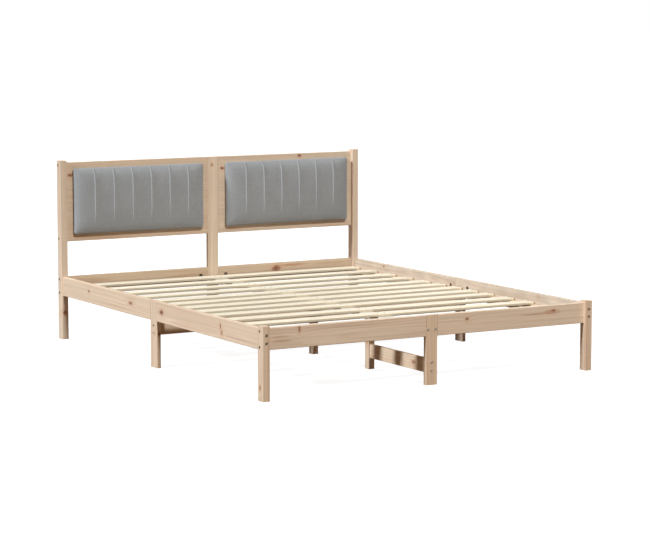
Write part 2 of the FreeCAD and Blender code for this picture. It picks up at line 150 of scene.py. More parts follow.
def new_material(name, **sockets):
    """A material with its shader's plain values set."""
    material = bpy.data.materials.new(name)
    material.use_nodes = True
    tree = material.node_tree
    shader = tree.nodes["Principled BSDF"]
    for socket, value in sockets.items():
        shader.inputs[socket.replace("_", " ")].default_value = value
    return material, tree, shader


def coat(tree, shader, colour, roughness):
    """Lead colour and roughness to the shader."""
    tree.links.new(colour, shader.inputs["Base Color"])
    tree.links.new(roughness, shader.inputs["Roughness"])


def emboss(tree, shader, height, strength, distance):
    """Fine relief on the surface."""
    inputs = {"Height": height, "Strength": strength, "Distance": distance}
    bump = add(tree, "ShaderNodeBump", inputs)
    tree.links.new(bump.outputs["Normal"], shader.inputs["Normal"])


def grey(level):
    """A grey of one level."""
    return (level, level, level, 1.0)


def give(node, material):
    """Assign one material to a CAD node."""
    node.data.materials.clear()
    node.data.materials.append(material)


# Pine

# Tones of the wood: early wood, late wood and redder patches.
PINE = {
    "pale": (0.760, 0.590, 0.440, 1),
    "late": (0.590, 0.405, 0.262, 1),
    "blush": (0.720, 0.520, 0.375, 1),
}
SLAT = {
    "pale": (0.892, 0.818, 0.672, 1),
    "late": (0.806, 0.690, 0.506, 1),
    "blush": (0.857, 0.765, 0.604, 1),
}
BEAM = {
    "pale": (0.720, 0.680, 0.625, 1),
    "late": (0.640, 0.570, 0.490, 1),
    "blush": (0.680, 0.620, 0.550, 1),
}
# Red heartwood, also used as painted shade on the right legs.
HEARTWOOD_AND_SHADE = (0.500, 0.275, 0.168, 1)
KNOT_HEART = (0.130, 0.050, 0.026, 1)
KNOT_WOOD = (0.430, 0.210, 0.120, 1)
KNOT_HALO = (0.640, 0.400, 0.262, 1)
# Painted shade on the edges of slats, under their lit tops.
EDGE_SHADE_TONE = (0.84, 0.81, 0.76, 1)

# How boards differ in tone from the plain pine: partly their own tone, partly painted light and
# shade that evens out how each board is lit. The first name that fits a board's start counts.
PLAIN = (1.0, 1.0, 1.0)
TINTS = {
    "head_panel_right": (0.915, 0.938, 0.972),
    "head_panel": (0.888, 0.877, 0.876),
    "head_rail_right": (0.88, 0.88, 0.88),
    "head_rail": (0.83, 0.82, 0.80),
    "head_post_centre": (0.99, 1.03, 1.08),
    "head_post_right": (1.01, 1.05, 1.12),
    "head_post": (0.94, 0.97, 1.02),
    "side_rail_right": (0.825, 0.87, 0.93),
    "side_leg_right": (0.825, 0.87, 0.93),
    "foot_leg_centre": (0.97, 0.95, 0.93),
    "foot_leg": (0.96, 0.95, 0.95),
    "centre_brace": (1.10, 1.09, 1.06),
    "foot_rail": (1.0, 1.01, 1.05),
}

# Width of a growth ring, and how far the heart lies from the board's middle, thin way and wide way.
RING, HEART = 0.0065, (0.05, 0.02)
SLAT_RING, SLAT_HEART = 0.008, (0.07, 0.05)
# Bends, patches, fibres and streaks in each metre, along the grain and across it.
SLOW_BENDS = (0.75, 6.0)
PATCHES = (1.1, 22.0)
FIBRES = (7.0, 520.0)
FINE_STREAKS = (1.2, 110.0)
RING_WANDER = 0.042
KNOT_RAGGED = (170.0, 170.0, 170.0)
# How strongly the rings show in weak and strong patches, and what share of it the head panels keep.
RING_SHOWS = (0.2, 0.7)
PANEL_FIGURE = 0.3
# Depth under a slat's top at which the painted shade on its edges is full, and at which it starts.
EDGE_SHADE_DEPTH = (0.0012, 0.0002)

# Knots of the boards that show: place on the face, radius, how dark the heart is, and length
# along the grain.
KNOTS = {
    "side_rail_left_head": [
        ((-0.821, 0.694, 0.267), 0.0055, 1.0, 1.6),
        ((-0.821, 0.238, 0.263), 0.008, 0.6, 2.2)],
    "side_rail_left_foot": [
        ((-0.821, -0.080, 0.258), 0.0115, 1.0, 1.6),
        ((-0.821, -0.645, 0.268), 0.012, 0.6, 0.5),
        ((-0.821, -0.657, 0.240), 0.011, 0.0, 0.7)],
    "foot_rail_left": [((-0.647, -1.017, 0.289), 0.013, 0.5, 0.4)],
    "foot_rail_right": [
        ((0.179, -1.017, 0.273), 0.0065, 0.7, 1.2),
        ((0.632, -1.017, 0.279), 0.005, 0.9, 2.2)],
    "head_rail_right": [((0.357, 1.009, 0.274), 0.016, 0.7, 1.5)],
    "head_panel_right": [
        ((0.494, 1.009, 0.840), 0.007, 0.9, 1.5),
        ((0.052, 1.009, 0.793), 0.007, 0.8, 1.5)],
    "head_panel_left": [((-0.770, 1.009, 0.790), 0.008, 0.9, 1.5)],
    "head_post_centre": [((-0.005, 1.009, 0.812), 0.005, 0.0, 1.5)],
    "side_rail_right_head": [((0.801, 0.693, 0.290), 0.0045, 0.5, 1.8)],
    "head_post_left": [((-0.815, 0.991, 0.130), 0.008, 0.9, 1.6)],
    "foot_leg_left": [((-0.829, -1.011, 0.056), 0.006, 0.5, 1.8)],
    "side_leg_left": [((-0.811, -0.032, 0.156), 0.006, 0.7, 1.8)],
    "centre_brace_foot": [((-0.010, -0.887, 0.083), 0.008, 0.2, 1.8)],
}
HIDDEN_BOARDS = ("cross_beam", "centre_brace_head", "slat_ledger", "centre_leg")

# Red heartwood along the grain, and on the right legs painted shade drawn the same way: middle, half
# its length, half its width and strength.
STREAKS = {
    "head_rail_right": [
        ((0.45, 1.009, 0.287), 0.09, 0.008, 0.9),
        ((0.66, 1.009, 0.284), 0.12, 0.005, 0.4)],
    "head_rail_left": [((-0.16, 1.009, 0.268), 0.12, 0.009, 0.5)],
    "head_panel_left": [
        ((-0.60, 1.009, 0.480), 0.20, 0.007, 0.6),
        ((-0.74, 1.009, 0.493), 0.06, 0.005, 0.5)],
    "head_panel_right": [
        ((0.10, 1.009, 0.486), 0.08, 0.009, 0.6),
        ((0.70, 1.009, 0.476), 0.12, 0.006, 0.6)],
    "foot_rail_left": [
        ((-0.745, -1.017, 0.262), 0.06, 0.005, 0.8),
        ((-0.730, -1.017, 0.244), 0.06, 0.006, 0.7),
        ((-0.35, -1.017, 0.284), 0.25, 0.006, 0.35)],
    "foot_rail_right": [
        ((0.620, -1.017, 0.273), 0.05, 0.013, 0.75),
        ((0.53, -1.017, 0.268), 0.08, 0.006, 0.6),
        ((0.33, -1.017, 0.249), 0.20, 0.004, 0.5)],
    "side_rail_left_foot": [
        ((-0.821, -0.80, 0.232), 0.16, 0.005, 0.4),
        ((-0.821, -0.30, 0.225), 0.18, 0.004, 0.3)],
    "side_rail_left_head": [((-0.821, 0.40, 0.232), 0.22, 0.005, 0.3)],
    "side_rail_right_head": [((0.801, 0.229, 0.278), 0.015, 0.007, 0.3)],
    "side_rail_right_foot": [
        ((0.801, -0.130, 0.281), 0.02, 0.010, 0.3),
        ((0.801, -0.661, 0.286), 0.02, 0.013, 0.4)],
    "foot_leg_left": [((-0.802, -1.035, 0.15), 0.4, 0.006, 0.35)],
    "foot_leg_centre": [
        ((-0.029, -1.035, 0.15), 0.4, 0.011, 0.5),
        ((0.013, -1.035, 0.15), 0.4, 0.006, 0.3)],
    "foot_leg_right": [
        # Heartwood along the left edge, strengthened as painted shade on that edge.
        ((0.794, -1.034, 0.15), 0.4, 0.0085, 0.8),
        ((0.816, -1.035, 0.15), 0.4, 0.004, 0.3)],
    "head_post_right": [((0.795, 0.991, 0.45), 0.8, 0.007, 0.25)],
    # Painted shade: the lower front of the right side leg darkened by a wide streak.
    "side_leg_right": [((0.811, -0.032, 0.07), 0.13, 0.04, 0.45)],
}


def tinted(tones, board):
    """The tones of one board."""
    tint = next((tint for start, tint in TINTS.items() if board.startswith(start)), PLAIN)
    return {part: tuple(level * share for level, share in zip(colour, tint)) + (1.0,)
            for part, colour in tones.items()}


def grain_of(box):
    """The longest direction of a board."""
    size = box[1] - box[0]
    return max("xyz", key=lambda letter: size[AXIS[letter]])


def along_and_across(grain, along, across):
    """A vector with one value along the grain and another across it."""
    return tuple(along if letter == grain else across for letter in "xyz")


def face_axis(place, box):
    """The axis square to the face that a place lies on."""
    return min(range(3), key=lambda axis: min(abs(place[axis] - corner[axis]) for corner in box))


def heart_of(box, grain, heart, pick):
    """A point on the heart of the trunk that a board was sawn from."""
    size, centre = box[1] - box[0], (box[0] + box[1]) / 2
    across = [AXIS[letter] for letter in "xyz" if letter != grain]
    thin, wide = sorted(across, key=lambda axis: size[axis])
    centre[thin] += pick.choice((-1, 1)) * heart[0] * pick.uniform(0.8, 1.5)
    centre[wide] += heart[1] * pick.uniform(-1.5, 1.5)
    return tuple(centre)


def growth_rings(tree, coords, bends, centre, grain, ring):
    """Distance from the heart in rings, bent by slow waves along the trunk."""
    wander = vector_calc(tree, "SUBTRACT", bends, (0.5, 0.5, 0.5))
    wander = vector_calc(tree, "MULTIPLY", wander, (RING_WANDER, RING_WANDER, RING_WANDER))
    radial = vector_calc(tree, "SUBTRACT", coords, centre)
    radial = vector_calc(tree, "ADD", radial, wander)
    radial = vector_calc(tree, "MULTIPLY", radial, along_and_across(grain, 0.0, 1.0))
    return calc(tree, "DIVIDE", vector_calc(tree, "LENGTH", radial), ring)


def knot_scale(radius, length, grain, through):
    """A knot's own radii: longer along the grain and far longer through the board."""
    scale = [1.0 / radius] * 3
    scale[AXIS[grain]] = 1.0 / (radius * length)
    scale[through] = 0.1 / radius
    return tuple(scale)


def bend_round_knot(tree, rings, distance, size):
    """The rings pushed aside by a knot of a size in rings."""
    squared = calc(tree, "MULTIPLY", distance, distance)
    falloff = calc(tree, "MULTIPLY_ADD", squared, 0.22, 1.0)
    push = calc(tree, "POWER", calc(tree, "DIVIDE", 1.0, falloff), 1.6)
    return calc(tree, "MULTIPLY_ADD", push, size * 1.7, rings)


def paint_knot(tree, wood, distance, dark):
    """A knot with its layers, its dark heart and edge, and redder wood around it."""
    wood = blend_colours(tree, ease(tree, distance, 0.7, 2.9, 0.6, 0.0), wood, KNOT_HALO)
    layers = calc(tree, "SINE", calc(tree, "MULTIPLY", distance, 13.0))
    body = blend_colours(tree, ease(tree, layers, -1.0, 1.0, 0.0, 0.3), KNOT_WOOD, KNOT_HALO)
    body = blend_colours(tree, ease(tree, distance, 0.3, 0.78, dark, 0.0), body, KNOT_HEART)
    edge = calc(tree, "ABSOLUTE", calc(tree, "SUBTRACT", distance, 0.93))
    body = blend_colours(tree, ease(tree, edge, 0.0, 0.17, 0.9 * dark, 0.0), body, KNOT_HEART)
    return blend_colours(tree, ease(tree, distance, 0.86, 1.12, 0.92, 0.0), wood, body)


def pine_material(name, box, tones, seed, knots=(), streaks=(), ring=RING, heart=HEART,
                  figure=1.0, shade_slat_edges=False):
    """Flat-sawn pine: growth rings round a heart outside the board, fibres and knots."""
    pick = random.Random(seed)
    grain = grain_of(box)
    centre = heart_of(box, grain, heart, pick)
    shift = tuple(pick.uniform(-9, 9) for letter in "xyz")
    material, tree, shader = new_material(name, Specular_IOR_Level=0.14)
    coords = object_coords(tree)

    def grained(scale, detail, output="Fac"):
        stretch = along_and_across(grain, *scale)
        return grain_noise(tree, coords, stretch, detail, shift, output)

    bends = grained(SLOW_BENDS, 2.0, "Color")
    rings = growth_rings(tree, coords, bends, centre, grain, ring)
    knot_fields = []
    if knots:
        ragged = grain_noise(tree, coords, KNOT_RAGGED, 2.0, shift)
        ragged = ease(tree, ragged, 0.25, 0.75, -0.28, 0.28)
    for place, radius, dark, length in knots:
        scale = knot_scale(radius, length, grain, face_axis(place, box))
        distance = calc(tree, "ADD", scaled_distance(tree, coords, place, scale), ragged)
        knot_fields.append((distance, dark))
        rings = bend_round_knot(tree, rings, distance, radius / ring)

    season = calc(tree, "FRACT", rings)
    wood = ramp(tree, season, [
        (0.0, tones["pale"]), (0.45, tones["pale"]), (0.86, tones["late"]), (1.0, tones["pale"])])
    patch = grained(PATCHES, 3.0)
    weak, strong = [figure * share for share in RING_SHOWS]
    wood = blend_colours(tree, ease(tree, patch, 0.32, 0.7, weak, strong), tones["pale"], wood)
    wood = blend_colours(tree, ease(tree, patch, 0.45, 0.72, 0.0, 0.5), wood, tones["blush"])
    fibre = grained(FIBRES, 3.0)
    streak = grained(FINE_STREAKS, 2.0)
    shade = calc(tree, "ADD", ease(tree, fibre, 0.25, 0.75, -0.03, 0.03),
                 ease(tree, streak, 0.3, 0.7, 0.92, 1.05))
    wood = blend_colours(tree, 1.0, wood, shade, "MULTIPLY")
    # Slat edges darker under the top: painted shade.
    if shade_slat_edges:
        height = add(tree, "ShaderNodeSeparateXYZ", {"Vector": coords}).outputs["Z"]
        full, start = [box[1].z - depth for depth in EDGE_SHADE_DEPTH]
        wood = blend_colours(tree, ease(tree, height, full, start, 1.0, 0.0), wood, EDGE_SHADE_TONE,
                             "MULTIPLY")
    # Streaks of red heartwood; on the right legs they also paint shade.
    for place, length, width, strength in streaks:
        scale = along_and_across(grain, 1.0 / length, 1.0 / width)
        band = ease(tree, scaled_distance(tree, coords, place, scale), 0.3, 1.2, strength, 0.0)
        band = calc(tree, "MULTIPLY", band, ease(tree, streak, 0.35, 0.65, 1.0, 0.55))
        wood = blend_colours(tree, band, wood, HEARTWOOD_AND_SHADE)
    for distance, dark in knot_fields:
        wood = paint_knot(tree, wood, distance, dark)

    coat(tree, shader, wood, ease(tree, fibre, 0.2, 0.8, 0.46, 0.6))
    emboss(tree, shader, calc(tree, "MULTIPLY_ADD", season, -0.25, fibre), 0.22, 0.0004)
    return material


def knots_of(name, box, pick):
    """The knots seen on a board, or a few at chance places on boards that are out of sight."""
    if name in KNOTS or not name.startswith(HIDDEN_BOARDS):
        return KNOTS.get(name, ())
    size = box[1] - box[0]
    chance = []
    for number in range(1 + int(size.length / 0.5)):
        place = Vector([start + pick.uniform(0.12, 0.88) * extent
                        for start, extent in zip(box[0], size)])
        chance.append((place, pick.uniform(0.004, 0.009), pick.uniform(0.2, 0.8), 1.8))
    return chance


def is_slat(name):
    """Slats carry a number. The ledgers under their ends are frame boards."""
    return name.startswith("slat_") and not name.startswith("slat_ledger")


def finish_boards():
    """Pine for every board, each with a grain of its own."""
    seed = 11
    for name in sorted(nodes):
        if name in STEEL_NODES or name.startswith("cushion"):
            continue
        seed += 7
        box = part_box(name)
        if is_slat(name) or name.startswith("centre_beam"):
            tones = SLAT if is_slat(name) else BEAM
            material = pine_material(f"slat_pine_{name}", box, tones, seed, ring=SLAT_RING,
                                     heart=SLAT_HEART, shade_slat_edges=is_slat(name))
        else:
            knots = knots_of(name, box, random.Random(seed))
            figure = PANEL_FIGURE if name.startswith("head_panel") else 1.0
            material = pine_material(f"pine_{name}", box, tinted(PINE, name), seed, knots,
                                     STREAKS.get(name, ()), figure=figure)
        give(nodes[name], material)


# Other finishes

ZINC = (0.28, 0.235, 0.19, 1)
# Darker steel for bolts and nuts sunk in recesses: painted shade.
SHADED_STEEL = (0.17, 0.130, 0.095, 1)
TARNISH = 0.62
PLYWOOD = [
    (0.3, (0.60, 0.43, 0.27, 1)), (0.5, (0.70, 0.53, 0.35, 1)), (0.7, (0.55, 0.38, 0.23, 1))]
FABRIC = [
    (0.38, (0.226, 0.235, 0.251, 1)),
    (0.5, (0.309, 0.320, 0.339, 1)),
    (0.62, (0.396, 0.409, 0.432, 1))]
THREAD = [(0.3, grey(0.36)), (0.7, grey(0.52))]
WEAVE_PITCH = 0.0016


def steel_material(name, colour):
    """Zinc-plated steel with fine turning marks and a little tarnish."""
    material, tree, shader = new_material(name, Metallic=1.0)
    coords = object_coords(tree)
    mottle = grain_noise(tree, coords, (900.0, 900.0, 900.0), 3.0)
    tarnish = grain_noise(tree, coords, (140.0, 140.0, 140.0), 2.0)
    dark = tuple(TARNISH * part for part in colour[:3]) + (1.0,)
    tone = blend_colours(tree, ease(tree, tarnish, 0.35, 0.75), colour, dark)
    coat(tree, shader, tone, ease(tree, mottle, 0.3, 0.7, 0.28, 0.46))
    emboss(tree, shader, mottle, 0.1, 0.0002)
    return material


def plywood_material(name):
    """Backing board: rotary-cut face with long wavy figure."""
    material, tree, shader = new_material(name, Specular_IOR_Level=0.25)
    figure = grain_noise(tree, object_coords(tree), (3.0, 60.0, 22.0), 4.0)
    coat(tree, shader, ramp(tree, figure, PLYWOOD), ease(tree, figure, 0.3, 0.7, 0.6, 0.75))
    return material


def fabric_material(name):
    """Grey plain weave of mottled yarn, with a soft sheen."""
    material, tree, shader = new_material(
        name, Specular_IOR_Level=0.2, Sheen_Weight=0.25, Sheen_Roughness=0.5)
    coords = object_coords(tree)
    place = add(tree, "ShaderNodeSeparateXYZ", {"Vector": coords}).outputs
    waver = grain_noise(tree, coords, (120.0, 120.0, 120.0), 2.0)
    sway = calc(tree, "MULTIPLY", waver, 3.0)
    turns = 2 * math.pi / WEAVE_PITCH
    right = calc(tree, "ADD", place["X"], place["Y"])
    upward = calc(tree, "SUBTRACT", place["Z"], place["Y"])
    weft, warp = [calc(tree, "SINE", calc(tree, "MULTIPLY_ADD", run, turns, sway))
                  for run in (right, upward)]
    weave = calc(tree, "MULTIPLY", weft, warp)
    yarn = calc(tree, "ADD", grain_noise(tree, coords, (80.0, 300.0, 900.0), 2.0),
                grain_noise(tree, coords, (900.0, 300.0, 80.0), 2.0))
    cloud = grain_noise(tree, coords, (14.0, 14.0, 14.0), 3.0)
    level = calc(tree, "ADD", ease(tree, yarn, 0.7, 1.3, -0.05, 0.05),
                 ease(tree, weave, -1.0, 1.0, -0.03, 0.03))
    level = calc(tree, "ADD", level, ease(tree, cloud, 0.3, 0.7, -0.012, 0.012))
    tone = ramp(tree, calc(tree, "ADD", level, 0.5), FABRIC)
    coat(tree, shader, tone, ease(tree, yarn, 0.7, 1.3, 0.82, 0.95))
    emboss(tree, shader, calc(tree, "MULTIPLY_ADD", yarn, 0.6, weave), 0.35, 0.0003)
    return material


def thread_material(name):
    """Pale grey thread with a twist."""
    material, tree, shader = new_material(name, Specular_IOR_Level=0.3)
    twist = grain_noise(tree, object_coords(tree), (2400.0, 2400.0, 1500.0), 2.0)
    coat(tree, shader, ramp(tree, twist, THREAD), ease(tree, twist, 0.3, 0.7, 0.6, 0.8))
    return material


# Cushions

# Thickness: at the edge, reach and height of the rolled edge, crown, low dome, and the distance
# over which the crown falls towards the sides.
PAD_SIDE = 0.0125
PAD_ROLL = (0.0045, 0.0050)
PAD_CROWN = 0.0190
PAD_DOME = 0.0045
PAD_FALL = 0.021
# Outline: corner radius, growth of half the width and height, shift right and up, how far the
# sides pull in between the corners, and how far the rear edge is drawn in and from where.
PAD_CORNER = 0.015
PAD_GROW = (-0.0010, 0.0045)
PAD_PLACE = (0.0020, -0.0015)
PAD_DRAW = (0.0015, 0.0008)
PAD_TUCK = 0.0060
PAD_TUCK_REACH = 0.0175
# Rear: gap to the panel, gap to the backing board's face, edge of the hollow for that board, and
# the grid lines on both sides of this edge.
REAR_GAP = 0.0004
BOARD_GAP = 0.0008
HOLLOW_EDGE = 0.0018
HOLLOW_LINES = (0.0012, 0.0024)
# Belts between face and rear: how far each has turned, and how firmly they are held.
BELT_TURNS = (25, 50, 72)
BELT_HOLD = 0.3
# Grid lines in from the edges, and the widest step between lines.
EDGE_STEPS = (0.0, 0.0005, 0.0014, 0.0028, 0.0048, 0.0078, 0.012, 0.0175, 0.026, 0.035, 0.045, 0.057)
GRID_STEP = 0.0125
# Sewn tucks: number, height, half width, shift to the right, roundness, the shares of the height
# over which they rise and settle, by how much they settle, and from what thickness they stand.
TUCKS = 6
TUCK_HEIGHT = 0.0032
TUCK_REACH = 0.0048
TUCK_FOLD = 0.0055
TUCK_ROUND = 1.4
TUCK_RISE = (0.05, 0.42)
TUCK_SETTLE = (0.84, 1.0)
TUCK_SETTLED = 0.45
TUCK_FRONT = (0.0165, 0.004)
# Padding: the furthest that it moves a point, cloth steps, and passes that even out the movement.
PAD_SWELL = 0.0010
PAD_STEPS = 20
PAD_EVEN = 40
PAD_CLOTH = {
    "quality": 6,
    "mass": 0.25,
    "tension_stiffness": 40,
    "compression_stiffness": 40,
    "shear_stiffness": 20,
    "bending_stiffness": 2.0,
    "use_pressure": True,
    "uniform_pressure_force": 4.0,
    "vertex_group_mass": "held",
    "pin_stiffness": 1.0,
}


def cushion_lines(half, hollow, seams=()):
    """Grid lines across half a cushion's size either way, close at its edges, hollow and seams."""
    lines = [sign * (half - step) for sign in (-1, 1) for step in EDGE_STEPS]
    lines += [sign * (hollow + gap) for sign in (-1, 1) for gap in HOLLOW_LINES]
    for seam in seams:
        lines += [seam + number * TUCK_REACH / 4 for number in range(-5, 6)]
    lines.sort()
    filled = lines[:1]
    for line in lines[1:]:
        start = filled[-1]
        parts = max(1, math.ceil((line - start) / GRID_STEP))
        filled += [start + (line - start) * part / parts for part in range(1, parts + 1)]
    return filled


def rounded(across, up, half_x, half_z):
    """A grid point's distances from the sides and from the outline, with the corners rounded."""
    near_x, near_z = half_x - abs(across), half_z - abs(up)
    if near_x >= PAD_CORNER or near_z >= PAD_CORNER:
        return near_x, near_z, min(near_x, near_z)
    u, v = 1 - near_x / PAD_CORNER, 1 - near_z / PAD_CORNER
    u, v = u * math.sqrt(1 - v * v / 2), v * math.sqrt(1 - u * u / 2)
    return PAD_CORNER * (1 - u), PAD_CORNER * (1 - v), PAD_CORNER * (1 - math.hypot(u, v))


def pad_thickness(near_x, near_z, near, share_x, share_z):
    """Thickness of a cushion: rolled edge, broad fall towards the sides and a low dome."""
    roll = PAD_ROLL[1] * math.sqrt(1 - (1 - min(near, PAD_ROLL[0]) / PAD_ROLL[0]) ** 2)
    fall = (1 - math.exp(-near_x / PAD_FALL)) * (1 - math.exp(-near_z / PAD_FALL))
    dome = PAD_DOME * (1 - share_x ** 2) * (1 - share_z ** 2)
    return PAD_SIDE + roll + PAD_CROWN * fall + dome


def drawn_in(near):
    """Distance from a side at the rear, where the cover is drawn in under the cushion."""
    return near if near > PAD_TUCK_REACH else PAD_TUCK + near * (1 - PAD_TUCK / PAD_TUCK_REACH)


def grid_rim(last_x, last_z):
    """Places round the outline of a grid, in order."""
    rim = [(i, 0) for i in range(last_x)] + [(last_x, j) for j in range(last_z)]
    rim += [(i, last_z) for i in range(last_x, 0, -1)] + [(0, j) for j in range(last_z, 0, -1)]
    return rim


def cage_faces(face, rear, belts, rim, last_x, last_z):
    """Faces of a cushion's front and rear, and of the belts between them."""
    faces = []
    for i in range(last_x):
        for j in range(last_z):
            faces.append((face[i, j], face[i + 1, j], face[i + 1, j + 1], face[i, j + 1]))
            faces.append((rear[i, j], rear[i, j + 1], rear[i + 1, j + 1], rear[i + 1, j]))
    loops = [[face[key] for key in rim], *belts, [rear[key] for key in rim]]
    for one, two in zip(loops, loops[1:]):
        for number in range(len(rim)):
            after = (number + 1) % len(rim)
            faces.append((one[after], one[number], two[number], two[after]))
    return faces


def cushion_cage(side):
    """Closed cage of a cushion before it swells, which of its points are held, and its seams."""
    low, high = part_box(f"cushion_{side}")
    board_low, board_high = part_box(f"cushion_backing_{side}")
    board = (board_high - board_low) / 2
    middle = (low + high) / 2
    middle.x, middle.z = middle.x + PAD_PLACE[0], middle.z + PAD_PLACE[1]
    half_x, half_z = (high.x - low.x) / 2 + PAD_GROW[0], (high.z - low.z) / 2 + PAD_GROW[1]
    seams = [TUCK_FOLD + half_x * (2 * number / (TUCKS + 1) - 1) for number in range(1, TUCKS + 1)]
    columns = cushion_lines(half_x, board.x, seams)
    rows = cushion_lines(half_z, board.z)
    last_x, last_z = len(columns) - 1, len(rows) - 1
    back = high.y - REAR_GAP
    points, hold = [], []

    def put(across, depth, up, firm):
        share_x, share_z = across / half_x, up / half_z
        across -= PAD_DRAW[0] * share_x * (1 - share_z ** 2)
        up -= PAD_DRAW[1] * share_z * (1 - share_x ** 2)
        points.append((middle.x + across, back - depth, middle.z + up))
        hold.append(firm)
        return len(points) - 1

    face, rear = {}, {}
    for i, across in enumerate(columns):
        for j, up in enumerate(rows):
            near_x, near_z, near = rounded(across, up, half_x, half_z)
            thick = pad_thickness(near_x, near_z, near, across / half_x, up / half_z)
            face[i, j] = put(math.copysign(half_x - near_x, across), thick,
                             math.copysign(half_z - near_z, up), 0.0)
            hollow = abs(across) < board.x + HOLLOW_EDGE and abs(up) < board.z + HOLLOW_EDGE
            depth = back - board_low.y + BOARD_GAP if hollow else 0.0
            rear[i, j] = put(math.copysign(half_x - drawn_in(near_x), across), depth,
                             math.copysign(half_z - drawn_in(near_z), up), 1.0)
    rim = grid_rim(last_x, last_z)
    belts = [[] for turn in BELT_TURNS]
    for key in rim:
        front, end = Vector(points[face[key]]), Vector(points[rear[key]])
        for belt, turn in zip(belts, BELT_TURNS):
            inset, depth = 1 - math.cos(math.radians(turn)), math.sin(math.radians(turn))
            points.append((front.x + (end.x - front.x) * inset, front.y + (end.y - front.y) * depth,
                           front.z + (end.z - front.z) * inset))
            hold.append(BELT_HOLD)
            belt.append(len(points) - 1)
    mesh = bpy.data.meshes.new(f"cushion_cover_{side}")
    mesh.from_pydata(points, [], cage_faces(face, rear, belts, rim, last_x, last_z))
    mesh.update()
    return mesh, hold, [middle.x + seam for seam in seams]


def evened(mesh, move):
    """A movement of the points, smoothed along the edges."""
    edges = np.array([edge.vertices[:] for edge in mesh.edges])
    count = np.bincount(edges.ravel(), minlength=len(move))[:, None]
    for step in range(PAD_EVEN):
        around = np.zeros_like(move)
        np.add.at(around, edges[:, 0], move[edges[:, 1]])
        np.add.at(around, edges[:, 1], move[edges[:, 0]])
        move = (move + around / count) / 2
    return move


def swell(cover, hold):
    """Let the padding push the cover out a little and evenly, less where the board holds it."""
    start = np.array([v.co for v in cover.data.vertices])
    group = cover.vertex_groups.new(name="held")
    for number, firm in enumerate(hold):
        if firm > 0:
            group.add([number], firm, "REPLACE")
    cloth = cover.modifiers.new("padding", "CLOTH")
    for name, value in PAD_CLOTH.items():
        setattr(cloth.settings, name, value)
    cloth.settings.effector_weights.gravity = 0.0
    cloth.collision_settings.use_collision = False
    for step in range(1, PAD_STEPS + 1):
        scene.frame_set(step)
    graph = bpy.context.evaluated_depsgraph_get()
    swollen = cover.evaluated_get(graph).to_mesh()
    end = np.array([v.co for v in swollen.vertices])
    cover.evaluated_get(graph).to_mesh_clear()
    cover.modifiers.remove(cloth)
    scene.frame_set(1)
    move = end - start
    length = np.maximum(np.linalg.norm(move, axis=1, keepdims=True), 1e-9)
    move *= PAD_SWELL * np.tanh(length / PAD_SWELL) / length
    move = evened(cover.data, move) * (1 - np.array(hold)[:, None])
    cover.data.vertices.foreach_set("co", (start + move).astype(np.float32).ravel())
    cover.data.update()


def smooth_piece(piece):
    """Apply one subdivision and shade smoothly."""
    modifier = piece.modifiers.new("fine", "SUBSURF")
    modifier.levels = modifier.render_levels = 1
    graph = bpy.context.evaluated_depsgraph_get()
    fine = bpy.data.meshes.new_from_object(piece.evaluated_get(graph))
    piece.modifiers.remove(modifier)
    coarse = piece.data
    piece.data = fine
    fine.name = coarse.name
    bpy.data.meshes.remove(coarse)
    fine.shade_smooth()


def smooth_step(start, end, values):
    """A smooth change from 0 to 1 as the values go from start to end."""
    share = np.clip((values - start) / (end - start), 0, 1)
    return share * share * (3 - 2 * share)


def raise_tucks(cover, seams, low, high):
    """Sew the upright tucks: narrow raised folds that die away above the lower edge."""
    mesh = cover.data
    points = np.array([v.co for v in mesh.vertices])
    normals = np.array([v.normal for v in mesh.vertices])
    share = (points[:, 2] - low.z) / (high.z - low.z)
    rise = smooth_step(*TUCK_RISE, share) * (1 - TUCK_SETTLED * smooth_step(*TUCK_SETTLE, share))
    front = np.clip((high.y - points[:, 1] - TUCK_FRONT[0]) / TUCK_FRONT[1], 0, 1)
    fold = np.zeros(len(points))
    for seam in seams:
        gap = np.clip(np.abs(points[:, 0] - seam) / TUCK_REACH, 0, 1)
        fold = np.maximum(fold, np.cos(gap * math.pi / 2) ** TUCK_ROUND)
    points += normals * (TUCK_HEIGHT * fold * rise * front)[:, None]
    mesh.vertices.foreach_set("co", points.astype(np.float32).ravel())
    mesh.update()


def make_cushion(side, fabric):
    """One cushion: swollen cover with sewn tucks, in the place of its CAD solid."""
    low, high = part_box(f"cushion_{side}")
    mesh, hold, seams = cushion_cage(side)
    cover = bpy.data.objects.new(f"cushion_cover_{side}", mesh)
    scene.collection.objects.link(cover)
    swell(cover, hold)
    smooth_piece(cover)
    raise_tucks(cover, seams, low, high)
    cover.data.materials.append(fabric)
    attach(cover, "root")
    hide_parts(f"cushion_{side}")
    return cover, seams


# Repeats

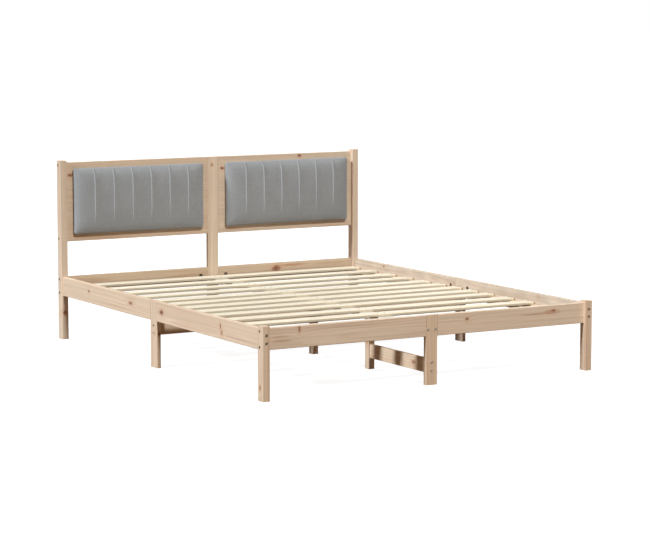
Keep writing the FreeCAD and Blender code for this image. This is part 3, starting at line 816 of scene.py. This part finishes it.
def instance_tree(name):
    """Places one shape on every point, turned to each point's own direction."""
    tree = bpy.data.node_groups.new(name, "GeometryNodeTree")
    for label, way, kind in (("Geometry", "INPUT", "Geometry"), ("Shape", "INPUT", "Object"),
                             ("Size", "INPUT", "Float"), ("Finish", "INPUT", "Material"),
                             ("Geometry", "OUTPUT", "Geometry")):
        tree.interface.new_socket(label, in_out=way, socket_type=f"NodeSocket{kind}")
    start = tree.nodes.new("NodeGroupInput")
    end = tree.nodes.new("NodeGroupOutput")
    shape = add(tree, "GeometryNodeObjectInfo", {"Object": start.outputs["Shape"]})
    facing = add(tree, "GeometryNodeInputNamedAttribute", {"Name": "facing"},
                 data_type="FLOAT_VECTOR")
    turn = add(tree, "FunctionNodeAlignRotationToVector", {"Vector": facing.outputs["Attribute"]},
               axis="Z")
    spin = add(tree, "GeometryNodeInputNamedAttribute", {"Name": "spin"}, data_type="FLOAT")
    own = add(tree, "FunctionNodeAxisAngleToRotation",
              {"Axis": (0.0, 0.0, 1.0), "Angle": spin.outputs["Attribute"]})
    both = add(tree, "FunctionNodeRotateRotation",
               {"Rotation": turn.outputs["Rotation"], "Rotate By": own.outputs["Rotation"]},
               rotation_space="LOCAL")
    placed = add(tree, "GeometryNodeInstanceOnPoints",
                 {"Points": start.outputs["Geometry"], "Instance": shape.outputs["Geometry"],
                  "Rotation": both.outputs["Rotation"], "Scale": start.outputs["Size"]})
    solid = add(tree, "GeometryNodeRealizeInstances", {"Geometry": placed.outputs["Instances"]})
    finished = add(tree, "GeometryNodeSetMaterial",
                   {"Geometry": solid.outputs["Geometry"], "Material": start.outputs["Finish"]})
    tree.links.new(finished.outputs["Geometry"], end.inputs["Geometry"])
    return tree


def input_name(tree, label):
    """Identifier of a tree's input."""
    for item in tree.interface.items_tree:
        if item.in_out == "INPUT" and item.name == label:
            return item.identifier
    raise KeyError(label)


def repeat(name, tree, shape, spots, material, smooth=False):
    """One piece made of a shape repeated at spots: places, directions and turns."""
    mesh = bpy.data.meshes.new(name)
    mesh.from_pydata([place for place, direction, turn in spots], [], [])
    mesh.attributes.new("facing", "FLOAT_VECTOR", "POINT")
    mesh.attributes.new("spin", "FLOAT", "POINT")
    for number, (place, direction, turn) in enumerate(spots):
        mesh.attributes["facing"].data[number].vector = direction
        mesh.attributes["spin"].data[number].value = turn
    piece = bpy.data.objects.new(name, mesh)
    scene.collection.objects.link(piece)
    modifier = piece.modifiers.new("repeat", "NODES")
    modifier.node_group = tree
    for label, value in (("Shape", shape), ("Size", 1.0), ("Finish", material)):
        modifier[input_name(tree, label)] = value
    graph = bpy.context.evaluated_depsgraph_get()
    made = bpy.data.meshes.new_from_object(piece.evaluated_get(graph))
    piece.modifiers.remove(modifier)
    piece.data = made
    bpy.data.meshes.remove(mesh)
    made.name = name
    if smooth:
        made.shade_smooth()
    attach(piece, "root")
    return piece


def turned_shape(name, profile, sides):
    """A shape turned about Z from radius and height pairs."""
    form = bmesh.new()
    turns = [2 * math.pi * k / sides for k in range(sides)]
    loops = []
    for radius, height in profile:
        around = turns if radius else turns[:1]
        loops.append([form.verts.new((radius * math.cos(turn), radius * math.sin(turn), height))
                      for turn in around])
    for one, two in zip(loops, loops[1:]):
        for k in range(sides):
            after = (k + 1) % sides
            corners = [one[k % len(one)], one[after % len(one)],
                       two[after % len(two)], two[k % len(two)]]
            corners = list(dict.fromkeys(corners))
            if len(corners) > 2:
                form.faces.new(corners)
    bmesh.ops.recalc_face_normals(form, faces=form.faces)
    mesh = bpy.data.meshes.new(name)
    form.to_mesh(mesh)
    form.free()
    return bpy.data.objects.new(name, mesh)


def joined(one, two):
    """Two shapes as one mesh, coincident points merged."""
    form = bmesh.new()
    form.from_mesh(one.data)
    form.from_mesh(two.data)
    bmesh.ops.remove_doubles(form, verts=form.verts, dist=1e-6)
    bmesh.ops.recalc_face_normals(form, faces=form.faces)
    form.to_mesh(one.data)
    form.free()
    bpy.data.objects.remove(two)
    return one


def bolt_head_shape():
    """Low round bolt head with a dished socket, its seat at height zero."""
    head = turned_shape("bolt_head_shape", [
        (0.0, 0.0), (0.0056, 0.0), (0.0058, 0.0005), (0.0056, 0.0022), (0.0046, 0.0030),
        (0.0027, 0.0031)], 24)
    socket = turned_shape("socket", [
        (0.0027, 0.0031), (0.0025, 0.0030), (0.0024, 0.0011), (0.0, 0.0009)], 24)
    return joined(head, socket)


def screw_head_shape():
    """Countersunk screw head, nearly flush, with a dished middle."""
    return turned_shape("screw_head_shape", [
        (0.0, -0.0008), (0.0030, -0.0008), (0.0040, 0.00015), (0.0038, 0.0003), (0.0016, 0.0003),
        (0.0009, -0.0004), (0.0, -0.0006)], 16)


def stitch_shape():
    """One stitch of thread, lying along Z."""
    return turned_shape("stitch_shape", [
        (0.0, -0.0019), (0.0003, -0.0016), (0.00042, -0.0006), (0.00042, 0.0006), (0.0003, 0.0016),
        (0.0, 0.0019)], 6)


# Bolts and screws: distance from the middle of a cross beam and of the centre beam or a brace,
# distance of slat screws from the centre line and the slat's end, of cushion screws from the
# board's edges, places along a ledger.
CROSS_BOLT = 0.0165
CENTRE_BOLT = 0.018
SLAT_SCREW = (0.018, 0.009)
CUSHION_SCREW = (0.06, 0.05)
LEDGER_SCREWS = (0.06, 0.28, 0.5, 0.72, 0.94)
# Stitches: length of a step, place beside a tuck in its half widths, share of the height at which
# they start, distance under the top at which they end, and how proud they lie.
STITCH_STEP = 0.0046
STITCH_BESIDE = 0.92
STITCH_START = 0.16
STITCH_END = 0.006
STITCH_PROUD = 0.0001


def spot_list(seed):
    """An empty list of spots, and a way to put one there with a chance turn."""
    spots = []
    pick = random.Random(seed)

    def put(place, direction):
        spots.append((place, direction, pick.uniform(0, math.pi)))
    return spots, put


def mid_height(name):
    """Height of a node's middle."""
    low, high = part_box(name)
    return (low.z + high.z) / 2


def beam_bolt_spots():
    """Bolts of the cross beam, the centre beam and the braces, on the faces of legs and posts."""
    spots, put = spot_list(5)
    cross_mid = mid_height("cross_beam_left")
    beam_mid = mid_height("centre_beam_foot")
    brace_mid = mid_height("centre_brace_foot")
    for side, sign in SIDES:
        low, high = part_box(f"side_leg_{side}")
        outer = low.x if sign < 0 else high.x
        for offset in (-CROSS_BOLT, CROSS_BOLT):
            put((outer, 0.0, cross_mid + offset), (sign, 0, 0))
    ends = ((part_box("foot_leg_centre")[0].y, -1), (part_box("head_post_centre")[1].y, 1))
    for face, way in ends:
        for offset in (-CENTRE_BOLT, CENTRE_BOLT):
            put((offset, face, beam_mid), (0, way, 0))
            put((0.0, face, brace_mid + offset), (0, way, 0))
    for half, way in (("foot", -1), ("head", 1)):
        low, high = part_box(f"centre_leg_{half}")
        near = high.y if way < 0 else low.y
        for offset in (-CENTRE_BOLT, CENTRE_BOLT):
            put((0.0, near, brace_mid + offset), (0, -way, 0))
    return spots


def screw_spots():
    """Screws of slats, centre beam, ledgers and cushions."""
    spots, put = spot_list(8)
    for name in filter(is_slat, sorted(nodes)):
        low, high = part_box(name)
        middle = (low.y + high.y) / 2
        for sign in (-1, 1):
            put((sign * SLAT_SCREW[0], middle, high.z), (0, 0, 1))
            put((sign * (high.x - SLAT_SCREW[1]), middle, high.z), (0, 0, 1))
    for side, sign in SIDES:
        for half in ("foot", "head"):
            low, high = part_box(f"slat_ledger_{side}_{half}")
            inner = high.x if sign < 0 else low.x
            for share in LEDGER_SCREWS:
                put((inner, low.y + share * (high.y - low.y), (low.z + high.z) / 2), (-sign, 0, 0))
        low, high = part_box(f"cushion_backing_{side}")
        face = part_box(f"head_panel_{side}")[1].y
        for x in (low.x + CUSHION_SCREW[0], (low.x + high.x) / 2, high.x - CUSHION_SCREW[0]):
            for z in (low.z + CUSHION_SCREW[1], high.z - CUSHION_SCREW[1]):
                put((x, face, z), (0, 1, 0))
    return spots


def stitch_spots(cover, seams, low, high):
    """Stitches along the foot of each tuck, on the cover's own surface."""
    surface = BVHTree.FromObject(cover, bpy.context.evaluated_depsgraph_get())
    first = low.z + STITCH_START * (high.z - low.z)
    heights = np.arange(first, high.z - STITCH_END, STITCH_STEP)
    inward, proud = Vector((0, 1, 0)), Vector((0, -STITCH_PROUD, 0))
    spots = []
    for seam in seams:
        place = seam + TUCK_REACH * STITCH_BESIDE
        hits = [surface.ray_cast(Vector((place, low.y - 0.1, z)), inward)[0] for z in heights]
        hits = [hit for hit in hits if hit is not None]
        for before, hit, after in zip(hits, hits[1:], hits[2:]):
            run = (after - before).normalized()
            spots.append((tuple(hit + proud), tuple(run), 0.0))
    return spots


# Studio

WARM_DARK = (0.145, 0.082, 0.040, 1)
FLOOR_HALF = 60.0
FLOOR_TONE = grey(0.30)
FLOOR_GLOW = 0.9
# Lamps: direction towards each, strength, spread in degrees, colour, and whether it shines back
# from glossy surfaces.
LAMPS = {
    "upper_left": ((-0.88, -0.04, 0.473), 3.14, 7.0, (0.86, 0.94, 1.0), True),
    "from_foot": ((-0.05, -0.722, 0.69), 2.28, 8.0, (0.955, 1.0, 0.985), True),
    "behind": ((0.52, 0.85, 0.10), 2.5, 40.0, (0.96, 0.98, 1.0), False),
}
# Camera: sensor width and lens in millimetres, the point it looks at, its turn to the left of the
# foot and its height in degrees, and its distance.
SENSOR, LENS = 36.0, 132.78
AIM = (0.0609, 0.0, 0.36093)
YAW, PITCH, DISTANCE = 29.955, 6.91, 11.1045
CLIP = (0.1, 200.0)


def seen_directly(tree, rays):
    """1 for rays by which the surroundings themselves are seen, 0 for those that only light."""
    seen = calc(tree, "MAXIMUM", rays["Is Camera Ray"], rays["Is Glossy Ray"])
    return calc(tree, "MAXIMUM", seen, rays["Is Transmission Ray"])


def make_floor():
    """Pale floor that is white where it is seen, keeps a faint shadow and throws back warm light."""
    corners = [(x * FLOOR_HALF, y * FLOOR_HALF, 0) for x, y in ((-1, -1), (1, -1), (1, 1), (-1, 1))]
    mesh = bpy.data.meshes.new("floor")
    mesh.from_pydata(corners, [], [(0, 1, 2, 3)])
    floor = bpy.data.objects.new("floor", mesh)
    scene.collection.objects.link(floor)
    material, tree, shader = new_material("pale_floor", Roughness=0.9, Specular_IOR_Level=0.1)
    rays = add(tree, "ShaderNodeLightPath").outputs
    tone = blend_colours(tree, rays["Is Diffuse Ray"], FLOOR_TONE, WARM_DARK)
    tree.links.new(tone, shader.inputs["Base Color"])
    strength = calc(tree, "MULTIPLY", seen_directly(tree, rays), FLOOR_GLOW)
    glow = add(tree, "ShaderNodeEmission", {"Color": grey(1.0), "Strength": strength})
    both = add(tree, "ShaderNodeAddShader", {0: shader.outputs[0], 1: glow.outputs[0]})
    tree.links.new(both.outputs[0], tree.nodes["Material Output"].inputs["Surface"])
    mesh.materials.append(material)
    floor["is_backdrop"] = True


def make_light():
    """Surroundings that are white where they are seen and a dim warm light to the wood, a main
    lamp at the upper left, a second one from the foot and a broad low one from behind."""
    world = bpy.data.worlds.new("studio")
    scene.world = world
    world.use_nodes = True
    tree = world.node_tree
    seen = seen_directly(tree, add(tree, "ShaderNodeLightPath").outputs)
    tone = blend_colours(tree, seen, WARM_DARK, grey(1.0))
    tree.links.new(tone, tree.nodes["Background"].inputs["Color"])
    for name, (toward, strength, spread, colour, glossy) in LAMPS.items():
        lamp = bpy.data.lights.new(name, "SUN")
        lamp.energy = strength
        lamp.angle = math.radians(spread)
        lamp.color = colour
        holder = bpy.data.objects.new(name, lamp)
        holder.visible_glossy = glossy
        holder.rotation_mode = "QUATERNION"
        holder.rotation_quaternion = Vector(toward).to_track_quat("Z", "Y")
        scene.collection.objects.link(holder)


def make_camera():
    """Camera at the photograph's angle."""
    data = bpy.data.cameras.new("photo_view")
    data.sensor_width = SENSOR
    data.lens = LENS
    data.clip_start, data.clip_end = CLIP
    camera = bpy.data.objects.new("photo_view", data)
    scene.collection.objects.link(camera)
    yaw, pitch = math.radians(YAW), math.radians(PITCH)
    back = Vector((-math.sin(yaw) * math.cos(pitch), -math.cos(yaw) * math.cos(pitch),
                   math.sin(pitch)))
    camera.location = Vector(AIM) + back * DISTANCE
    camera.rotation_mode = "QUATERNION"
    camera.rotation_quaternion = (-back).to_track_quat("-Z", "Y")
    scene.camera = camera


finish_boards()
bright_steel = steel_material("zinc_steel", ZINC)
# Bolts and nuts in recesses get the darker steel: painted shade.
shaded_steel = steel_material("sunk_steel", SHADED_STEEL)
give(nodes["corner_bolts"], shaded_steel)
give(nodes["frame_rods"], bright_steel)
give(nodes["cross_nuts"], shaded_steel)

backing_wood = plywood_material("backing_plywood")
fabric = fabric_material("grey_weave")
thread = thread_material("seam_thread")
repeats = instance_tree("repeat_on_points")
stitch = stitch_shape()
for side, sign in SIDES:
    give(nodes[f"cushion_backing_{side}"], backing_wood)
    cover, seams = make_cushion(side, fabric)
    low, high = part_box(f"cushion_{side}")
    repeat(f"seam_stitches_{side}", repeats, stitch, stitch_spots(cover, seams, low, high),
           thread, True)
repeat("beam_bolt_heads", repeats, bolt_head_shape(), beam_bolt_spots(), bright_steel)
repeat("wood_screw_heads", repeats, screw_head_shape(), screw_spots(), bright_steel)

make_floor()
make_light()
make_camera()

low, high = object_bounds()
